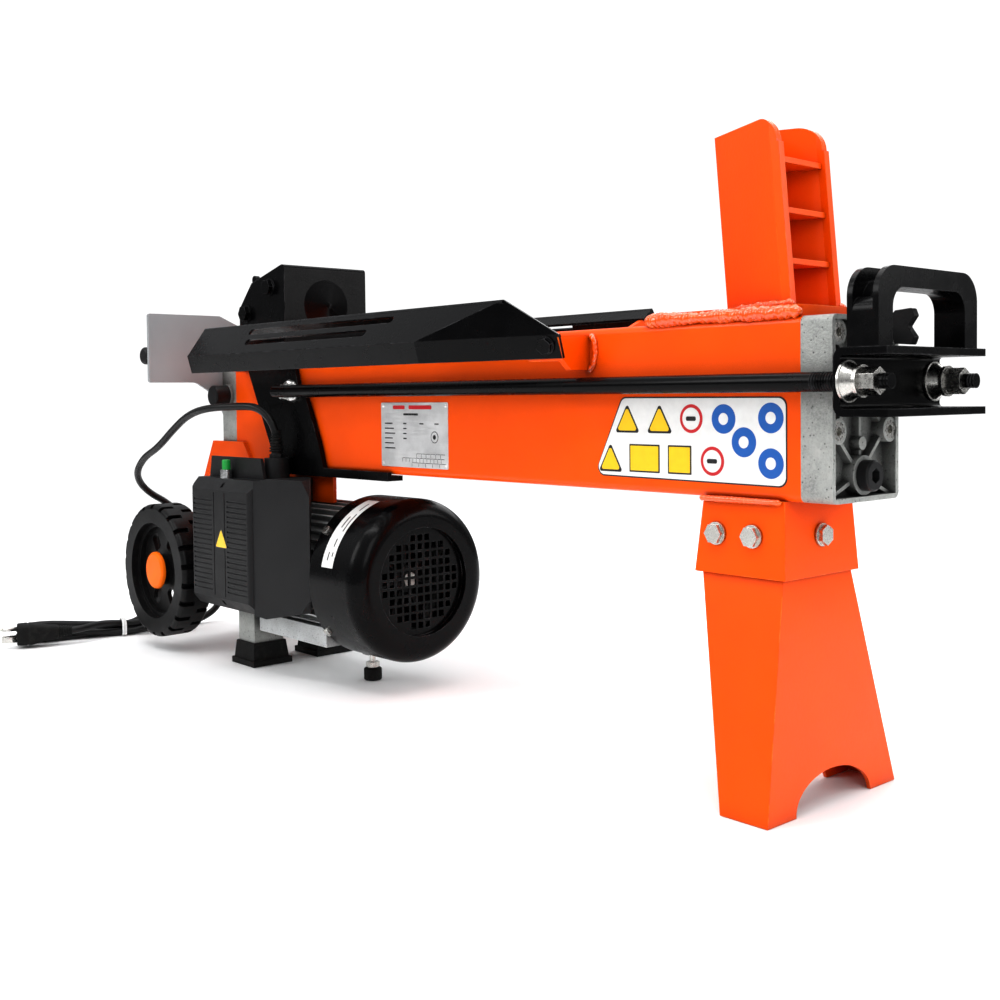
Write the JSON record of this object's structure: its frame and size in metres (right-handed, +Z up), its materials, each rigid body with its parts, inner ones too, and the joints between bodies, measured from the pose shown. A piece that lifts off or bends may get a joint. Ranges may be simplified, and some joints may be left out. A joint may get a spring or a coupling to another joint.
{
  "type": "electric hydraulic log splitter",
  "caption": "Low horizontal electric log splitter: box beam with wedge and sliding pusher on pull rods, motor and pump below, folded trays, splayed leg, two wheels, switch box and lead.",
  "frame": {"origin": "bottom centre of the machine's box, measured without the mains lead, on the floor it stands on", "axes": "+X along the beam from the wheels to the wedge and yoke, +Z up, -Y the side with the switch box"},
  "size_m": [1.088, 0.3428, 0.473],
  "materials": {
    "orange_paint": "gloss",
    "black_paint": "satin",
    "cast_aluminium": "cast",
    "motor_aluminium": "satin",
    "zinc_steel": "satin",
    "bare_steel": "satin",
    "chromed_steel": "gloss",
    "spring_steel": "satin",
    "guard_steel": "satin",
    "bronze": "satin",
    "stator_copper": "satin",
    "black_plastic": "matte",
    "wheel_plastic": "matte",
    "orange_plastic": "gloss",
    "green_plastic": "gloss",
    "grey_plastic": "satin",
    "black_rubber": "matte",
    "cord_rubber": "satin"
  },
  "bodies": {
    "machine": {"beam_tube": "orange_paint", "tie_bolts": "zinc_steel", "cylinder_tube": "bare_steel", "end_cover": "cast_aluminium", "rod_bush": "bronze", "oil_plug": "black_plastic", "valve_block": "cast_aluminium", "valve_cap": "black_plastic", "guard_plate": "guard_steel", "wedge_base": "orange_paint", "wedge_blade": "orange_paint", "wedge_ribs": "orange_paint", "leg_socket": "orange_paint", "front_leg": "orange_paint", "log_trays": "black_paint", "tray_brackets": "orange_paint", "tray_bolts": "black_paint", "axle_bracket": "orange_paint", "axle": "zinc_steel", "pump_housing": "cast_aluminium", "motor_bearings": "bare_steel", "front_shield": "cast_aluminium", "rubber_feet": "black_rubber", "stator_housing": "motor_aluminium", "stator_core": "stator_copper", "rear_shield": "cast_aluminium", "fan_cover": "black_paint", "motor_bracket": "orange_paint", "zinc_fasteners": "zinc_steel", "switch_box": "black_plastic", "switch_cover": "black_plastic", "capacitor": "grey_plastic", "button_collar": "chromed_steel", "gland_nut": "black_plastic", "mains_lead": "cord_rubber", "lead_hank": "cord_rubber", "mains_plug": "cord_rubber"},
    "carriage": {"piston": "bare_steel", "piston_rod": "chromed_steel", "return_spring": "spring_steel", "yoke": "black_paint", "pull_handle": "black_plastic", "pull_rods": "black_paint", "rod_nuts": "zinc_steel", "pusher_head": "black_paint", "carriage_plates": "black_paint", "head_bolts": "black_paint", "slide_pad": "black_plastic"},
    "wheel_near": {"wheel_near": "wheel_plastic", "hub_cap_near": "orange_plastic"},
    "wheel_far": {"wheel_far": "wheel_plastic", "hub_cap_far": "orange_plastic"},
    "lever": {"valve_lever": "black_paint", "lever_knob": "black_plastic"},
    "spool": {"valve_spool": "bare_steel"},
    "button": {"start_button": "green_plastic"},
    "motor_rotor": {"rotor": "bare_steel", "cooling_fan": "black_plastic"},
    "pump_gear": {"driven_gear": "bare_steel"},
    "bleed": {"bleed_screw": "black_plastic"},
    "foot": {"foot_screw": "zinc_steel"}
  },
  "joints": [
    {"name": "carriage_slide", "type": "slide", "parent": "machine", "child": "carriage", "axis": [1, 0, 0], "range_m": [0, 0.36], "stiffness_N_per_m": 250, "springref_m": -0.08, "deforming": ["return_spring"]},
    {"name": "wheel_near_spin", "type": "hinge", "parent": "machine", "child": "wheel_near", "pos_m": [-0.4111, -0.07805, 0.09], "axis": [0, 1, 0], "continuous": true},
    {"name": "wheel_far_spin", "type": "hinge", "parent": "machine", "child": "wheel_far", "pos_m": [-0.4111, 0.09795, 0.09], "axis": [0, 1, 0], "continuous": true},
    {"name": "lever_tilt", "type": "hinge", "parent": "machine", "child": "lever", "pos_m": [-0.3711, -0.00005, 0.277], "axis": [1, 0, 0], "range_deg": [0, 22], "stiffness_Nm_per_rad": 1, "springref_deg": -22.92},
    {"name": "spool_slide", "type": "slide", "parent": "machine", "child": "spool", "axis": [0, 1, 0], "range_m": [-0.004, 0]},
    {"name": "button_press", "type": "slide", "parent": "machine", "child": "button", "axis": [0, 0, -1], "range_m": [0, 0.004], "stiffness_N_per_m": 200, "springref_m": -0.002},
    {"name": "rotor_spin", "type": "hinge", "parent": "machine", "child": "motor_rotor", "pos_m": [-0.1851, -0.00005, 0.107], "axis": [1, 0, 0], "continuous": true},
    {"name": "pump_gear_spin", "type": "hinge", "parent": "machine", "child": "pump_gear", "pos_m": [-0.3251, -0.00005, 0.131], "axis": [1, 0, 0], "continuous": true},
    {"name": "bleed_turn", "type": "hinge", "parent": "machine", "child": "bleed", "pos_m": [0.4349, 0.01795, 0.3265], "axis": [1, 0, 0], "range_deg": [0, 360]},
    {"name": "foot_turn", "type": "hinge", "parent": "machine", "child": "foot", "pos_m": [-0.1181, -0.00205, 0.016], "axis": [0, 0, 1], "range_deg": [0, 360]}
  ],
  "couplings": [
    {"joint": "spool_slide", "follows": "lever_tilt", "m_per_rad": -0.01},
    {"joint": "pump_gear_spin", "follows": "rotor_spin", "ratio": -1}
  ]
}
